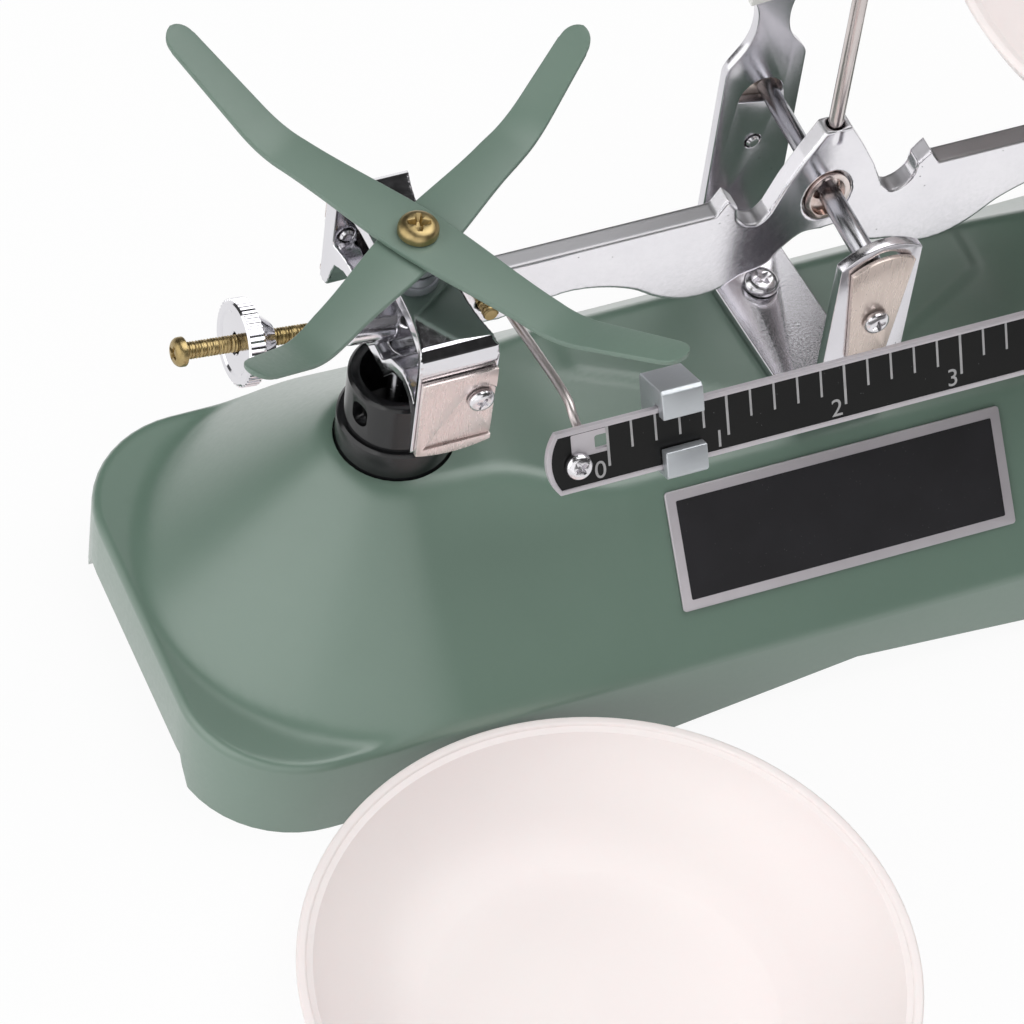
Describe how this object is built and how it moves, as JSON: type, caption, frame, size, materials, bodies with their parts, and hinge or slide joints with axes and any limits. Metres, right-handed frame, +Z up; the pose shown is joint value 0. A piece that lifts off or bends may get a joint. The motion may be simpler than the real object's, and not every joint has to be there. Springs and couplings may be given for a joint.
{
  "type": "beam balance",
  "caption": "Equal-arm beam balance on a hollow cast base, with a knife-edge beam, dial column, sliding rider on a ruler, pan carriers and shallow dish pans.",
  "frame": {"origin": "on the table under the middle of the whole object's box", "axes": "+X along the beam to the right arm, +Y from the front with the nameplate to the back, +Z up"},
  "size_m": [0.2418, 0.1912, 0.1525],
  "materials": {
    "hammered_paint": "green-grey hammered enamel",
    "label_plate": "black etched plate with a bare silver border",
    "chrome": "bright plate",
    "zinc": "zinc-plated",
    "steel": "ground steel",
    "brass": "turned",
    "copper": "copper plated",
    "beige_plate": "satin beige",
    "rose_plate": "satin",
    "white_plate": "satin white",
    "black_rule": "black anodised with a bare border",
    "arm_paint": "green satin enamel",
    "black_plastic": "moulded",
    "pan_plastic": "satin moulded"
  },
  "bodies": {
    "base": {"base_shell": "hammered_paint", "nameplate": "label_plate", "left_sleeve": "black_plastic", "right_sleeve": "black_plastic", "column_bracket": "chrome", "bracket_screw": "zinc", "front_bearing_cover": "beige_plate", "rear_bearing_cover": "beige_plate", "front_cover_screw": "chrome", "rear_cover_screw": "chrome", "dial_plate": "white_plate", "dial_screw_lower": "chrome", "dial_screw_upper": "chrome", "stay_pivot_pin": "steel"},
    "beam": {"beam": "zinc", "knife_bush": "copper", "middle_knife": "steel", "left_knife": "steel", "right_knife": "steel", "pointer": "zinc", "left_balance_screw": "brass", "right_balance_screw": "brass", "left_clamp_screw": "brass", "right_clamp_screw": "brass", "left_ruler_wire": "steel", "right_ruler_wire": "steel", "ruler": "black_rule", "left_ruler_screw": "brass", "right_ruler_screw": "brass"},
    "left_nut": {"left_balance_nut": "zinc"},
    "right_nut": {"right_balance_nut": "zinc"},
    "rider": {"rider": "zinc"},
    "left_hanger": {"left_carrier": "chrome", "left_front_cheek_cover": "rose_plate", "left_front_cheek_screw": "zinc", "left_rear_cheek_cover": "rose_plate", "left_rear_cheek_screw": "zinc", "left_stem": "steel", "left_stem_pin": "steel", "left_lower_washer": "zinc", "left_upper_washer": "zinc", "left_lower_strip": "arm_paint", "left_upper_strip": "arm_paint", "left_cross_screw": "brass"},
    "right_hanger": {"right_carrier": "chrome", "right_front_cheek_cover": "rose_plate", "right_front_cheek_screw": "zinc", "right_rear_cheek_cover": "rose_plate", "right_rear_cheek_screw": "zinc", "right_stem": "steel", "right_stem_pin": "steel", "right_lower_washer": "zinc", "right_upper_washer": "zinc", "right_lower_strip": "arm_paint", "right_upper_strip": "arm_paint", "right_cross_screw": "brass"},
    "stay": {"stay_link": "steel"},
    "left_pan": {"left_pan": "pan_plastic"},
    "right_pan": {"right_pan": "pan_plastic"}
  },
  "joints": [
    {"name": "beam_pivot", "type": "hinge", "parent": "base", "child": "beam", "pos_m": [-0.002, 0.0452, 0.0825], "axis": [0, 1, 0], "range_deg": [-4, 4]},
    {"name": "left_carrier_hinge", "type": "hinge", "parent": "beam", "child": "left_hanger", "pos_m": [-0.0745, 0.0452, 0.0807], "axis": [0, 1, 0], "range_deg": [-4, 4]},
    {"name": "right_carrier_hinge", "type": "hinge", "parent": "beam", "child": "right_hanger", "pos_m": [0.0705, 0.0452, 0.0807], "axis": [0, 1, 0], "range_deg": [-4, 4]},
    {"name": "stay_hinge", "type": "hinge", "parent": "base", "child": "stay", "pos_m": [-0.002, 0.0452, 0.0158], "axis": [0, 1, 0], "range_deg": [-4, 4]},
    {"name": "left_nut_travel", "type": "slide", "parent": "beam", "child": "left_nut", "axis": [-0.9916, 0, 0.1291], "range_m": [-0.01, 0.008]},
    {"name": "right_nut_travel", "type": "slide", "parent": "beam", "child": "right_nut", "axis": [0.9916, 0, 0.1291], "range_m": [-0.01, 0.008]},
    {"name": "rider_slide", "type": "slide", "parent": "beam", "child": "rider", "axis": [1, 0, 0], "range_m": [-0.01, 0.093]},
    {"name": "left_pan_lift", "type": "slide", "parent": "base", "child": "left_pan", "axis": [0, 0, 1], "range_m": [0, 0.05]},
    {"name": "right_pan_lift", "type": "slide", "parent": "right_hanger", "child": "right_pan", "axis": [0, 0, 1], "range_m": [0, 0.05]}
  ],
  "couplings": [
    {"joint": "left_carrier_hinge", "follows": "beam_pivot", "ratio": -1},
    {"joint": "right_carrier_hinge", "follows": "beam_pivot", "ratio": -1},
    {"joint": "stay_hinge", "follows": "beam_pivot", "ratio": 1}
  ]
}
